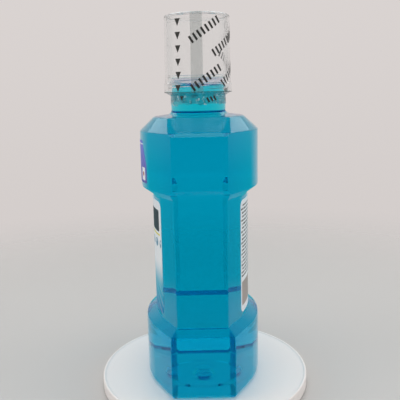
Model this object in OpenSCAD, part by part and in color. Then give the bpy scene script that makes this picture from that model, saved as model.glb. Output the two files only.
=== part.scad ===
// Mouthwash bottle: full clear bottle with a measuring cap, shrink film and labels.
// Millimetres. Z up, origin on the floor under the neck. X is the bottle's width, the front label faces -Y.

/* [Node] */
// Which piece to show

/* [Body] */
// Width of both blocks, end face to end face
body_w = 104; // [98:0.5:112]
// Depth of both blocks, front to back
body_d = 79.4; // [76:0.2:84]
// How far the waist's end faces are set in from those of the blocks
waist_in_w = 3.7; // [3:0.1:6]
// How far the waist's front and back are set in from those of the blocks
waist_in_d = 7.3; // [6:0.1:9]
// Half the width of the bowed part of the blocks
bow_half = 29.5; // [26:0.5:33]
// Half the width of the bowed part of the waist
waist_bow_half = 33; // [30:0.5:35]
// Angle of the upper block's corner faces, from the front
up_angle = 34; // [32:0.5:36]
// Angle of the lower block's corner faces, from the front
low_angle = 29.5; // [28:0.5:33]
// Angle of the waist's corner faces, from the front
waist_angle = 30; // [28:0.5:32]
// Turn between the bowed face and the corner face
bow_kink = 5; // [3:0.5:8]
// Rounding of the upright edges beside the end faces
edge_r = 2.4; // [1:0.2:4]
// Wall of the blown bottle
wall = 0.8; // [0.6:0.1:1.4]

/* [Levels] */
// Top of the lower block's upright wall
low_block_top = 39.8; // [34:0.2:42]
// Bottom of the waist
waist_bottom = 48.6; // [46:0.2:54]
// Top of the waist
waist_top = 130.6; // [126:0.2:132]
// Bottom of the upper block's front, back and corner walls
up_block_bottom = 135; // [134:0.2:140]
// Top of the upper block's front, back and corner walls
up_block_top = 171.6; // [166:0.2:173]
// How much shorter the upper block's end walls are, at each end
end_cut = 2.6; // [1:0.2:4]
// Height of the shoulder's flat edge
shoulder_top = 180.6; // [179:0.2:181]
// Width of the shoulder's flat top
deck_w = 68; // [60:1:76]
// Depth of the shoulder's flat top
deck_d = 59.6; // [54:0.4:62]
// Angle of the slanting sides of the shoulder's flat top
deck_angle = 26; // [22:0.5:28]
// Rounding of the base's edge
base_r = 4.6; // [3:0.2:7]

/* [Neck] */
// Height of the neck's foot
neck_foot = 181.8; // [181.4:0.1:183]
// Radius of the smooth neck
neck_r = 18.2; // [17.8:0.1:18.8]
// Radius of the neck under the thread
finish_r = 17.6; // [17.2:0.1:17.8]
// Radius over the thread, a 38 mm finish
thread_r = 18.75; // [18.5:0.05:18.9]
// Radius of the bore
mouth_r = 16.3; // [15.5:0.1:16.5]
// Height of the rim of the mouth
mouth_top = 205; // [204:0.2:206]
// Lead of the thread, six threads to the inch
lead = 4.23; // [4.2:0.01:4.3]
// Turns of the bottle's thread
neck_turns = 1.15; // [0.9:0.05:1.2]
// Level of the mouthwash
fill_top = 201; // [186:0.5:203]

/* [Cap] */
// Top of the cap
total_h = 245; // [235:0.5:255]
// Bottom of the cap's rim
cap_bottom = 195.7; // [195:0.1:196.5]
// Top of the flared rim
rim_top = 202; // [200:0.2:204]
// Radius of the flared rim
rim_r = 22.4; // [22.2:0.1:23]
// Radius of the skirt just over the rim
skirt_r = 21.8; // [21.6:0.05:22]
// Radius of the skirt at the top
skirt_top_r = 21.4; // [21.2:0.05:21.6]
// Walls of the cap
cap_wall = 0.9; // [0.7:0.05:1]
// Clearance of the inner wall over the thread
thread_gap = 0.35; // [0.25:0.05:0.45]
// Turns of the cap's thread
cap_turns = 0.95; // [0.7:0.05:1]
// Thickness of the liner
liner_t = 0.6; // [0.4:0.1:1]

/* [Film] */
// Thickness of the film
film_t = 0.15; // [0.1:0.01:0.2]
// Clearance under the film and the labels
skin_gap = 0.02; // [0.01:0.01:0.05]
// Middle of the tear strip, angle from the +X side
strip_mid = -34.5; // [-60:0.5:60]
// Width of the tear strip, as an angle
strip_angle = 22.4; // [16:0.2:30]
// How far the film curls over the top
film_curl = 3; // [2:0.2:5]
// Lower edge of the neck film
neck_film_bottom = 190.4; // [188:0.2:192]

/* [Labels] */
// Width of the waist labels
label_w = 64; // [50:0.5:65]
// Bottom of the waist labels
label_bottom = 51.2; // [50:0.2:60]
// Top of the waist labels
label_top = 127.4; // [110:0.2:128]
// Corner radius of the waist labels
label_r = 4; // [2:0.5:8]
// Thickness of the labels
label_t = 0.15; // [0.1:0.01:0.2]
// Width of the shoulder label at its bottom
badge_w = 51; // [40:0.5:57]
// Width of the shoulder label at its top
badge_top_w = 37; // [30:0.5:50]
// Bottom of the shoulder label
badge_bottom = 138.5; // [137:0.2:145]
// Top of the shoulder label
badge_top = 166; // [155:0.2:168]

/* [Hidden] */
$fn = 96;
bow_steps = 6;
edge_steps = 3;
fill_gap = 0.05;
liner_gap = 0.05;
strip_gap = 0.12;
foot_r = 19.8;
foot_slope = 1.8;
base_t = 1.6;
recess_r = 27;
recess_h = 0.8;
dome_r = 9;
dome_top_r = 5.5;
dome_h = 4;
finish_start = 194.6;
clearance = 0.1;
waist_w = body_w - 2 * waist_in_w;
waist_d = body_d - 2 * waist_in_d;
seg = 20;
thread_root = 1.3;
thread_crest = 0.6;
cap_root = 1.1;
cap_crest = 0.5;
crest_gap = 0.35;
lip = 0.3;
deck_t = 1.2;
ledge_t = 0.9;
cap_in_r = thread_r + thread_gap;
cap_mid_r = cap_in_r + cap_wall - 0.1;
ledge_z = mouth_top + liner_gap + liner_t + liner_gap;
liner_in_r = mouth_r + 0.3;
neck_z0 = mouth_top - 1.6 - lead * neck_turns;
cap_start = (cap_bottom + cap_root + 0.3 - neck_z0 + lead / 2) / lead;
big = 400;

// A plan outline: half width, half depth, half width of the bow, angle of the corner face
up_plan = [body_w / 2, body_d / 2, bow_half, up_angle];
up_end_plan = [body_w / 2 - end_cut, body_d / 2, bow_half, up_angle];
low_plan = [body_w / 2, body_d / 2, bow_half, low_angle];
waist_plan = [waist_w / 2, waist_d / 2, waist_bow_half, waist_angle];
deck_plan = [deck_w / 2, deck_d / 2, deck_w * 0.3, deck_angle];

// Bow radius of a plan, and the depth at the bow's end
function bow_r(p) = p[2] / sin(p[3] - bow_kink);
function bow_y(p) = p[1] - bow_r(p) * (1 - cos(p[3] - bow_kink));
// The bow's end, moved in by i
function kink_pt(p, i) = let (m = p[3] - bow_kink / 2, k = i / cos(bow_kink / 2))
    [p[2] - k * sin(m), bow_y(p) - k * cos(m)];
// The point where the corner face meets the end face, moved in by i
function edge_pt(p, i) = let (k = kink_pt(p, i), x = p[0] - i)
    [x, k[1] - (x - k[0]) * tan(p[3])];
// A quarter of the outline, from the middle of the front to the end face
function quarter(p, i) = let (
        r = bow_r(p) - i,
        k = kink_pt(p, i),
        a = asin(k[0] / r),
        e = edge_pt(p, i),
        er = max(edge_r - i * 0.4, 0.6),
        h = (90 - p[3]) / 2,
        m = p[3] + h,
        c = [e[0] - er / cos(h) * sin(m), e[1] - er / cos(h) * cos(m)]
    ) concat(
        [for (s = [0:bow_steps - 1]) let (t = a * s / bow_steps) [r * sin(t), p[1] - i - r + r * cos(t)]],
        [k],
        [for (s = [0:edge_steps]) let (t = p[3] + 2 * h * s / edge_steps) [c[0] + er * sin(t), c[1] + er * cos(t)]]
    );
// The whole outline, the same way round at every level
function outline(p, i) = let (q = quarter(p, i), n = len(q)) concat(
    q,
    [for (s = [n - 1:-1:0]) [q[s][0], -q[s][1]]],
    [for (s = [1:n - 1]) [-q[s][0], -q[s][1]]],
    [for (s = [n - 1:-1:1]) [-q[s][0], q[s][1]]]
);
// A ring of the loft at height z
function ring(p, i, z) = [for (v = outline(p, i)) [v[0], v[1], z]];
// A round ring with its points in the same directions as those of the shoulder's flat top
function round_ring(r, z) = [for (v = outline(deck_plan, 0)) let (l = norm(v)) [v[0] * r / l, v[1] * r / l, z]];

// Levels of the outside, moved in by g all round
function levels(g) = let (s = g * tan(22.5)) [
    ring(low_plan, base_r + g * 0.6, g * base_t / wall),
    ring(low_plan, base_r * 0.42 + g * 0.8, base_r * 0.14 + g * 1.2),
    ring(low_plan, base_r * 0.12 + g * 0.95, base_r * 0.46 + g * 0.6),
    ring(low_plan, g, base_r + g * 0.1),
    ring(low_plan, g, low_block_top - s),
    ring(waist_plan, g, waist_bottom - s),
    ring(waist_plan, g, waist_top + s),
    ring(up_end_plan, g, up_block_bottom + s),
    ring(up_plan, g, up_block_bottom + end_cut + s),
    ring(up_plan, g, up_block_top - end_cut * 0.7 - s),
    ring(up_end_plan, g, up_block_top - s),
    ring(deck_plan, g * 0.8, shoulder_top - g),
    round_ring(foot_r - g, neck_foot - g)
];

// A closed solid through a list of rings
module loft(rings) {
    n = len(rings[0]);
    m = len(rings);
    pts = [for (r = rings) each r];
    sides = [for (k = [0:m - 2]) for (j = [0:n - 1]) let (a = k * n + j, b = k * n + (j + 1) % n)
        each [[a, b, a + n], [b, b + n, a + n]]];
    bottom = [[for (j = [n - 1:-1:0]) j]];
    top = [[for (j = [0:n - 1]) (m - 1) * n + j]];
    polyhedron(points = pts, faces = concat(sides, bottom, top), convexity = 6);
}

// A helical thread. It starts at height z0 and angle 0, and its ends fade into the base radius.
module helix(base, crest, half_base, half_crest, z0, turns, first) {
    n = ceil(turns * seg);
    step = 360 * turns / n;
    fade = base + (crest - base) * 0.25;
    pts = [for (k = [0:n]) let (
            t = first * 360 + k * step,
            z = z0 + lead * t / 360,
            c = (k == 0 || k == n) ? fade : crest,
            w = (k == 0 || k == n) ? half_base * 0.8 : half_crest
        ) each [
            [base * cos(t), base * sin(t), z - half_base],
            [c * cos(t), c * sin(t), z - w],
            [c * cos(t), c * sin(t), z + w],
            [base * cos(t), base * sin(t), z + half_base]
        ]];
    quads = [for (k = [0:n - 1]) for (j = [0:3]) let (a = k * 4 + j, b = k * 4 + (j + 1) % 4)
        each [[a, a + 4, b], [b, a + 4, b + 4]]];
    ends = [[0, 1, 2, 3], [n * 4 + 3, n * 4 + 2, n * 4 + 1, n * 4]];
    faces = concat(quads, ends);
    flip = crest < base ? faces : [for (f = faces) [for (j = [len(f) - 1:-1:0]) f[j]]];
    polyhedron(points = pts, faces = flip, convexity = 8);
}

// The push-up in the base, as seen from inside
module dome(g) {
    translate([0, 0, -1])
        cylinder(r = dome_r + g, h = recess_h + 1.001);
    translate([0, 0, recess_h])
        cylinder(r1 = dome_r + g, r2 = dome_top_r + g, h = dome_h + g * 0.6);
}

// The smooth neck with its foot and the plain part under the thread
module neck_outside() {
    translate([0, 0, neck_foot - 0.5])
        cylinder(r = neck_r, h = finish_start - neck_foot + 0.5);
    translate([0, 0, neck_foot - 0.4])
        cylinder(r1 = foot_r - 0.4, r2 = neck_r, h = foot_slope);
    translate([0, 0, finish_start - 0.01])
        cylinder(r1 = neck_r, r2 = finish_r, h = 0.61);
    translate([0, 0, finish_start + 0.5])
        cylinder(r = finish_r, h = mouth_top - finish_start - 0.5);
}

module bottle() {
    color([0.85, 0.95, 0.97, 0.35])
    difference() {
        union() {
            difference() {
                union() {
                    loft(levels(0));
                    neck_outside();
                }
                loft(levels(wall));
            }
            intersection() {
                dome(0.9);
                cylinder(r = 30, h = 20);
            }
            helix(finish_r - 0.25, thread_r, thread_root, thread_crest, neck_z0, neck_turns, 0);
        }
        dome(0);
        translate([0, 0, -1])
            cylinder(r = recess_r, h = recess_h + 1);
        translate([0, 0, neck_foot - 3])
            cylinder(r = mouth_r, h = mouth_top - neck_foot + 4);
        translate([0, 0, neck_foot - 1.2])
            cylinder(r1 = foot_r - 1.6, r2 = mouth_r, h = foot_slope + 0.4);
    }
}

module mouthwash() {
    color([0.05, 0.55, 0.7, 0.8])
    difference() {
        union() {
            loft(levels(wall + fill_gap));
            translate([0, 0, neck_foot - 2.5])
                cylinder(r = mouth_r - fill_gap, h = fill_top - neck_foot + 2.5);
        }
        translate([0, 0, -0.001])
            dome(0.9 + fill_gap);
    }
}

// Outside of the cap, grown by g
module cap_outside(g) {
    translate([0, 0, cap_bottom])
        cylinder(r1 = rim_r - lip + g, r2 = rim_r + g, h = lip);
    translate([0, 0, cap_bottom + lip])
        cylinder(r = rim_r + g, h = rim_top - cap_bottom - 3 * lip);
    translate([0, 0, rim_top - 2 * lip])
        cylinder(r1 = rim_r + g, r2 = skirt_r + g, h = 2 * lip);
    translate([0, 0, rim_top])
        cylinder(r1 = skirt_r + g, r2 = skirt_top_r + g, h = total_h - rim_top - lip * 3);
    translate([0, 0, total_h - lip * 3])
        cylinder(r1 = skirt_top_r + g, r2 = skirt_top_r - lip * 3 + g, h = lip * 3 + g);
}

module dosing_cap() {
    color([0.92, 0.94, 0.95, 0.35])
    union() {
        difference() {
            cap_outside(0);
            translate([0, 0, cap_bottom - 1])
                cylinder(r = cap_in_r, h = total_h - deck_t - cap_bottom + 1);
            difference() {
                translate([0, 0, cap_bottom + 1.2])
                    cylinder(r = skirt_top_r - cap_wall, h = total_h - deck_t - cap_bottom - 1.2);
                translate([0, 0, cap_bottom])
                    cylinder(r = cap_mid_r, h = total_h);
            }
            difference() {
                translate([0, 0, cap_bottom - 1])
                    cylinder(r = skirt_top_r - cap_wall, h = 3);
                translate([0, 0, cap_bottom - 2])
                    cylinder(r = cap_mid_r, h = 5);
            }
        }
        translate([0, 0, ledge_z])
            difference() {
                cylinder(r = cap_in_r + 0.1, h = ledge_t);
                translate([0, 0, -1])
                    cylinder(r = liner_in_r, h = ledge_t + 2);
            }
        helix(cap_in_r + 0.25, finish_r + crest_gap, cap_root, cap_crest, neck_z0 - lead / 2, cap_turns, cap_start);
    }
}

module cap_liner() {
    color([0.95, 0.95, 0.92])
    translate([0, 0, mouth_top + liner_gap])
        difference() {
            cylinder(r = cap_in_r - clearance, h = liner_t);
            translate([0, 0, -1])
                cylinder(r = liner_in_r, h = liner_t + 2);
        }
}

// The film round the whole cap, before the strip is cut out
module film_shell() {
    difference() {
        cap_outside(skin_gap + film_t);
        cap_outside(skin_gap);
        translate([0, 0, total_h - 1])
            cylinder(r = skirt_top_r - film_curl, h = 3);
    }
}

// A wedge from the axis, a degrees wide, cut back by g on both sides
module wedge(a, g) {
    rotate([0, 0, strip_mid])
        linear_extrude(height = total_h + 10)
            polygon([
                [g / sin(a / 2), 0],
                [60, 60 * tan(a / 2) - g / cos(a / 2)],
                [60, -60 * tan(a / 2) + g / cos(a / 2)]
            ]);
}

module cap_film() {
    color([0.97, 0.97, 0.98, 0.25])
    difference() {
        film_shell();
        wedge(strip_angle, 0);
    }
}

module tear_strip() {
    color([0.97, 0.97, 0.98, 0.3])
    intersection() {
        film_shell();
        wedge(strip_angle, strip_gap);
    }
}

module neck_film() {
    color([0.97, 0.97, 0.98, 0.25])
    difference() {
        union() {
            translate([0, 0, neck_film_bottom])
                cylinder(r = neck_r + skin_gap + film_t, h = finish_start - neck_film_bottom);
            translate([0, 0, finish_start - 0.8])
                cylinder(r1 = neck_r + skin_gap + film_t, r2 = rim_r - 1, h = cap_bottom - 0.1 - finish_start + 0.8);
        }
        translate([0, 0, neck_film_bottom - 1])
            cylinder(r = neck_r + skin_gap, h = finish_start - neck_film_bottom + 1.001);
        translate([0, 0, finish_start - 0.8 + film_t * 1.5])
            cylinder(r1 = neck_r + skin_gap, r2 = rim_r - 1, h = cap_bottom - 0.1 - finish_start + 0.8);
    }
}

// A plate with round corners, standing on z = 0
module plate(w, h, r) {
    translate([-w / 2 + r, 0])
        square([w - 2 * r, h]);
    translate([-w / 2, r])
        square([w, h - 2 * r]);
    for (x = [-1, 1])
        for (y = [r, h - r])
            translate([x * (w / 2 - r), y])
                circle(r = r);
}

// A thin skin on the bowed face of plan p. side is 1 for the back and -1 for the front.
module skin(p, side, z) {
    r = bow_r(p);
    c = p[1] - r;
    intersection() {
        translate([0, side * c, 0])
            difference() {
                cylinder(r = r + skin_gap + label_t, h = big);
                translate([0, 0, -1])
                    cylinder(r = r + skin_gap, h = big + 2);
            }
        translate([0, side > 0 ? 60 : 0, z])
            rotate([90, 0, 0])
                linear_extrude(height = 60)
                    children();
    }
}

module front_label() {
    color([0.93, 0.94, 0.96])
    skin(waist_plan, -1, label_bottom)
        plate(label_w, label_top - label_bottom, label_r);
}

module back_label() {
    color([0.95, 0.95, 0.95])
    skin(waist_plan, 1, label_bottom)
        plate(label_w, label_top - label_bottom, label_r);
}

module shoulder_label() {
    h = badge_top - badge_bottom;
    color([0.35, 0.38, 0.65])
    skin(up_plan, -1, badge_bottom)
        polygon([
            [-badge_w / 2, 0],
            [badge_w / 2, 0],
            [badge_w / 2, h * 0.45],
            [badge_top_w / 2, h],
            [-badge_top_w / 2, h],
            [-badge_w / 2, h * 0.45]
        ]);
}

bottle();
mouthwash();
dosing_cap();
cap_liner();
cap_film();
tear_strip();
neck_film();
front_label();
shoulder_label();
back_label();
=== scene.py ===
from math import asin, atan2, cos, hypot, pi, radians, sin, sqrt, tan

import bpy
import numpy as np
from bpy.props import FloatProperty, FloatVectorProperty, IntProperty, PointerProperty
from mathutils import Matrix, Vector, noise


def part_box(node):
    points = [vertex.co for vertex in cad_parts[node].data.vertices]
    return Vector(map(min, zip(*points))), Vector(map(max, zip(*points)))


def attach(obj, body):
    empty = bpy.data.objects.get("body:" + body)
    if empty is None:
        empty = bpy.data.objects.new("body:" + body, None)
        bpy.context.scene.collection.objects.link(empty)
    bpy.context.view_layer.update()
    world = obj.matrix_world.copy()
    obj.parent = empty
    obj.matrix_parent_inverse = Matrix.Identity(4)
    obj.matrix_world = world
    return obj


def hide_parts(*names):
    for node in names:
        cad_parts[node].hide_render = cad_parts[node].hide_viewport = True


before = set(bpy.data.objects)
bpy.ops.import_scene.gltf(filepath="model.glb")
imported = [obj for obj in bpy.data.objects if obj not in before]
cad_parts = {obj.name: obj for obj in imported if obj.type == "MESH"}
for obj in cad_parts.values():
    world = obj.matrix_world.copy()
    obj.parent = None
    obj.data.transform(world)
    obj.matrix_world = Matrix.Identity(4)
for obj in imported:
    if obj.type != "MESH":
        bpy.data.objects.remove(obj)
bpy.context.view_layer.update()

bl_info = {
    "name": "Mouthwash Bottle",
    "version": (1, 0, 0),
    "blender": (4, 5, 0),
    "location": "View3D > Sidebar > Bottle",
    "description": "Builds a full mouthwash bottle with its measuring cap, film and labels",
    "category": "Add Mesh",
}

MM = 0.001
BOTTLE_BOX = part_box("bottle")
LIQUID_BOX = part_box("mouthwash")
CAP_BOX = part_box("dosing_cap")
LINER_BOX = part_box("cap_liner")
NECK_FILM_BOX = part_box("neck_film")

# Profiles of round parts, as radius and height in millimetres

BASE = ((2.5, 4.8), (5.2, 4.75), (6.0, 4.3), (8.6, 1.3), (9.2, 0.85), (12, 0.8), (24.0, 0.8),
        (25.5, 0.68), (27.5, 0.25), (29.5, 0.0))
INNER_BASE = ((26.5, 1.6), (12.8, 1.6), (10.2, 1.7), (9.4, 2.1), (7.0, 4.9), (6.0, 5.3), (2.5, 5.34))
LIQUID_BASE = ((2.5, 5.39), (6.0, 5.35), (7.05, 4.93), (9.45, 2.14), (10.25, 1.76), (12.8, 1.66),
               (26.5, 1.66))
TURNTABLE = ((20, -0.01), (70.4, -0.01), (70.8, 0.05), (71.3, 0.55), (72.0, 0.7), (72.6, 0.5),
             (72.84, -0.1), (72.84, -7.0), (71.0, -7.8))
# Here the height is from the top of the bottle
LIP = ((17.58, -0.45), (17.45, -0.15), (17.15, 0.0), (16.75, 0.0), (16.42, -0.12), (16.3, -0.4))
# Here the radius is from the bore and the height from the top of the liquid, which climbs up the wall
LIQUID_TOP = ((0, -1.2), (0, -0.05), (-0.25, -0.35), (-0.8, -0.75), (-2.0, -0.98))

# Other fixed values

TURNTABLE_CENTRE = Vector((4.5 * MM, 0.68 * MM, 0))
FLOOR_LEVEL = -8 * MM
# Height from one ring of a threaded part to the next
THREAD_STEP = 0.22 * MM
# Radius inside which the top of the liquid is free, clear of the wall
FREE_SURFACE = 16.1 * MM
# Height in metres and scale of the unevenness of a surface
BOTTLE_RIPPLE = (0.00002, 45.0)
CAP_RIPPLE = (0.00001, 90.0)
FILM_FOLDS = (0.00025, 260.0)
CRUMPLED_FOLDS = (0.0011, 330.0)
# Tints of the film: clouded, painted shade in the crumpled folds, glued, painted shade on the rolled lip, and
# painted white glints
HAZE = (0.85, 0.87, 0.87)
PAINTED_FOLD_SHADE = (0.10, 0.17, 0.20)
GLUED = (0.30, 0.34, 0.32)
PAINTED_LIP_SHADE = (0.10, 0.12, 0.12)
PAINTED_GLINT = (0.9, 0.93, 0.93)
# The film's IOR for its gloss, the most gloss, how much its glued places cover, and how much the painted
# shade on its rolled lip covers
FILM_IOR = 1.24
FILM_GLOSS = 0.22
GLUED_COVER = 0.22
LIP_SHADE_COVER = 0.6
# Colours of the small marks on the labels
RAY_WHITE = (0.80, 0.84, 0.90)
DROP_BLUE = (0.16, 0.30, 0.42)
DROP_GLINT = (0.66, 0.76, 0.84)
RING_WHITE = (0.85, 0.92, 0.96)
BADGE_RINGS = (0.30, 0.36, 0.62)
BADGE_DOT = (0.42, 0.10, 0.10)
# Where the ends of the film overlap, as angles
OVERLAP = (radians(-11.3), radians(8.7))
# Rows of slanting bars: angle in degrees and height in millimetres of the first bar, and number of bars
BAR_ROWS = ((-10, 228.2, 8), (29, 220.2, 8), (68, 229.0, 7), (-8, 198.8, 8), (46, 201.5, 8), (84, 209.5, 8))
# Lamps: name, place, height aimed at, size, power, and whether gloss shows it
LAMPS = (
    ("top_light", (0.1, 0.0, 0.95), 0.10, (0.8, 0.8), 3.6, True),
    ("back_light", (-0.62, 0.0, 0.66), 0.17, (1.5, 0.3), 2.1, True),
    ("left_light", (0.25, -0.9, 0.45), 0.12, (0.6, 0.6), 2.6, False),
    ("right_light", (0.1, 0.9, 0.45), 0.12, (0.6, 0.6), 2.6, False),
)
# Light turns many times inside the filled bottle and crosses many thin sheets
MOST_BOUNCES = 128
CAMERA_PLACE = (0.38254, -0.00021, 0.19737)
# Degrees that the camera looks down, and its roll as an angle
CAMERA_DOWN = 11.117
CAMERA_ROLL = -0.0210
# Focal length and image width in pixels, and the sensor's width in millimetres
FOCAL_PIXELS = 560.64
IMAGE_PIXELS = 400.0
SENSOR = 36.0


# Sizes and colours

def length(name, value, text):
    """A length in millimetres, kept in metres."""
    return FloatProperty(name=name, description=text, default=value * MM, min=0.0, unit="LENGTH", precision=5)


def turn(name, value, text):
    """An angle in degrees, kept in radians."""
    return FloatProperty(name=name, description=text, default=radians(value), subtype="ANGLE")


def plain(name, value, text):
    return FloatProperty(name=name, description=text, default=value, min=0.0)


def count(name, value, text):
    return IntProperty(name=name, description=text, default=value, min=1)


def colour(name, value, text):
    return FloatVectorProperty(name=name, description=text, default=value, size=3, subtype="COLOR",
                               min=0.0, max=1.0)


class BottleSizes(bpy.types.PropertyGroup):
    """The blown bottle."""
    width: length("Width", (BOTTLE_BOX[1].x - BOTTLE_BOX[0].x) / MM, "Both blocks, end face to end face")
    depth: length("Depth", (BOTTLE_BOX[1].y - BOTTLE_BOX[0].y) / MM, "Both blocks, front to back")
    waist_in_width: length("Waist in, ends", 3.7, "How far the waist's end faces are set in")
    waist_in_depth: length("Waist in, front", 7.3, "How far the waist's front and back are set in")
    bow_half: length("Bow half", 29.5, "Half the width of the blocks' bowed part")
    waist_bow_half: length("Waist bow half", 33, "Half the width of the waist's bowed part")
    upper_angle: turn("Upper corner", 34, "Corner faces of the upper block, from the front")
    lower_angle: turn("Lower corner", 29.5, "Corner faces of the lower block, from the front")
    waist_angle: turn("Waist corner", 30, "Corner faces of the waist, from the front")
    kink: turn("Kink", 5, "Turn between the bowed face and the corner face")
    edge: length("Upright edges", 0.6, "Rounding beside the end faces")
    wall: length("Wall", 0.8, "Wall of the blown bottle")
    low_top: length("Lower block top", 39.8, "Top of the lower block's upright wall")
    waist_bottom: length("Waist bottom", 48.6, "Where the waist begins")
    waist_top: length("Waist top", 130.6, "Where the waist ends")
    up_bottom: length("Upper block bottom", 135, "Bottom of the upper block's walls")
    up_top: length("Upper block top", 171.6, "Top of the upper block's walls")
    end_cut: length("End cut", 2.6, "How much shorter the upper end walls are")
    shoulder_top: length("Shoulder top", 180.6, "Height of the shoulder's flat edge")
    deck_width: length("Shoulder width", 68, "Width of the shoulder's flat top")
    deck_depth: length("Shoulder depth", 59.6, "Depth of the shoulder's flat top")
    deck_angle: turn("Shoulder angle", 26, "Slanting sides of the shoulder's flat top")
    base_edge: length("Base edge", 4.6, "Rounding of the base's edge")
    soft: length("Soft edges", 0.9, "How far the rounding of the level edges reaches")
    step: length("Step", 5.0, "Height of the short slope from the lower block in to the waist")
    seam: length("Mould seam", 0.2, "How far the mould's parting line stands out")


class NeckSizes(bpy.types.PropertyGroup):
    """The neck and its thread."""
    foot: length("Foot", 181.8, "Height of the neck's foot")
    foot_radius: length("Foot radius", 19.8, "Radius of the neck's foot")
    radius: length("Neck radius", 18.2, "Radius of the smooth neck")
    finish: length("Finish radius", 17.6, "Radius of the neck under the thread")
    thread: length("Thread radius", 18.75, "Radius over the thread")
    bore: length("Bore radius", 16.3, "Radius of the mouth")
    finish_start: length("Finish start", 194.6, "Where the thread's part begins")
    lead: length("Lead", 4.23, "Rise of the thread in one turn")
    turns: plain("Turns", 1.15, "Turns of the bottle's thread")


class CapSizes(bpy.types.PropertyGroup):
    """The measuring cap and its liner."""
    rim: length("Rim radius", 22.4, "Radius of the flared rim")
    rim_top: length("Rim top", 202, "Height where the rim ends")
    skirt: length("Skirt radius", 21.8, "Radius just over the rim")
    top: length("Top radius", 21.4, "Radius at the top")
    wall: length("Wall", 0.9, "Outer wall of the cap")
    inner: length("Inner radius", 19.1, "Inside of the threaded wall")
    inner_wall: length("Inner wall", 0.8, "Thickness of the threaded wall")
    deck: length("Deck", 1.2, "Thickness of the cap's top")
    ledge: length("Ledge", 16.6, "Inner radius of the ledge over the liner, and of the liner")
    turns: plain("Turns", 0.95, "Turns of the cap's thread")


class FilmSizes(bpy.types.PropertyGroup):
    """The shrink film and its marks."""
    gap: length("Gap", 0.04, "Air under the film")
    thickness: length("Thickness", 0.05, "Thickness of the film")
    wrinkle: length("Wrinkle", 0.05, "Height of the small wrinkles")
    strip_middle: turn("Strip middle", -34.5, "Middle of the tear strip")
    strip_width: turn("Strip width", 22.4, "Width of the tear strip, as an angle")
    curl: length("Curl", 3, "How far the film curls over the top")
    arrows: count("Arrows", 6, "Arrows down the tear strip")
    arrow_width: length("Arrow width", 4.3, "Width of an arrow")
    arrow_height: length("Arrow height", 4.65, "Height of an arrow")
    arrow_pitch: length("Arrow pitch", 8.14, "From one arrow to the next")
    hatch_width: length("Bar width", 1.45, "Width of a slanting bar")
    hatch_height: length("Bar height", 4.9, "Height of a slanting bar")


class LabelSizes(bpy.types.PropertyGroup):
    """The labels."""
    width: length("Width", 64, "Width of the waist labels")
    bottom: length("Bottom", 51.2, "Lower edge of the waist labels")
    top: length("Top", 127.4, "Upper edge of the waist labels")
    corner: length("Corner", 4, "Corner radius of the waist labels")
    thickness: length("Thickness", 0.13, "Thickness of the labels")
    badge_width: length("Badge width", 51, "Shoulder label, at its bottom")
    badge_top_width: length("Badge top width", 37, "Shoulder label, at its top")
    badge_bottom: length("Badge bottom", 138.5, "Lower edge of the shoulder label")
    badge_top: length("Badge top", 166, "Upper edge of the shoulder label")


class Looks(bpy.types.PropertyGroup):
    """Colours and finishes."""
    liquid_tint: colour("Liquid tint", (1, 1, 1), "Colour taken on at the liquid's surface")
    liquid_depth: colour("Liquid depth", (0.05, 0.9575, 0.985), "What each length of liquid lets through")
    liquid_strength: plain("Liquid strength", 134, "How quickly the liquid's colour deepens, per metre")
    liquid_shade: colour("Liquid shade", (0.74, 0.92, 0.91), "Colour of light that falls through the liquid")
    gloss: colour("Gloss", (0.1, 0.95, 1.0), "Colour of the reflections on the filled bottle")
    ior: plain("Bottle and liquid", 1.36, "How strongly the filled bottle bends light")
    flank_ior: plain("Slanting faces", 1.14, "How strongly light bends as it leaves a slanting face")
    shoulder_ior: plain("Shoulder", 1.27, "How strongly the shoulder bends light")
    neck_ior: plain("Neck", 1.16, "How strongly the neck bends light")
    finish_ior: plain("Threaded neck", 1.12, "How strongly the threaded part of the neck bends light")
    cap_ior: plain("Cap", 1.16, "How strongly the thin cap bends light")
    pet: colour("Bottle", (0.85, 0.87, 0.92), "Colour of the clear bottle")
    cap: colour("Cap", (0.994, 0.996, 0.996), "Colour of the clear cap")
    ink: colour("Ink", (0.028, 0.024, 0.021), "Ink on the film")
    label_white: colour("Label white", (0.82, 0.84, 0.87), "Ground of the labels")
    label_blue: colour("Label blue", (0.02, 0.16, 0.42), "Deep colour of the front label")
    label_teal: colour("Label teal", (0.05, 0.42, 0.58), "Light colour of the front label")
    banner: colour("Banner", (0.055, 0.06, 0.07), "Bare banner on the front label")
    line: colour("Line", (0.72, 0.62, 0.12), "Thin line under the banner")
    violet: colour("Violet", (0.12, 0.13, 0.40), "Shoulder label")
    fine_print: colour("Fine print", (0.05, 0.045, 0.045), "Rows of plain dashes on the back label")
    bar: colour("Bar", (0.40, 0.35, 0.33), "Plain bar on the back label")
    floor: colour("Floor", (0.525, 0.515, 0.505), "Floor")
    turntable: colour("Turntable", (0.84, 0.79, 0.77), "White turntable")
    walls: colour("Walls", (0.46, 0.45, 0.44), "Light of the walls on the object")
    sides: colour("Sides", (0.55, 0.54, 0.53), "Side walls, as gloss shows them")
    opening: colour("Opening", (0.03, 0.03, 0.032), "Dark opening behind the camera, as gloss shows it")
    ceiling: colour("Ceiling", (0.11, 0.34, 0.38), "Middle of the ceiling, as gloss shows it")
    below: colour("Below", (0.06, 0.42, 0.44), "Floor, as gloss shows it")
    room: colour("Room", (0.70, 0.655, 0.64), "Backdrop as the camera sees it")


# Shader maths and node trees

def maths(operation, reflected=False):
    """A method that adds one Math node."""
    def method(self, *others):
        values = (*others, self) if reflected else (self, *others)
        return self.tree.node("ShaderNodeMath", {"operation": operation}, dict(enumerate(values)))
    return method


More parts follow.
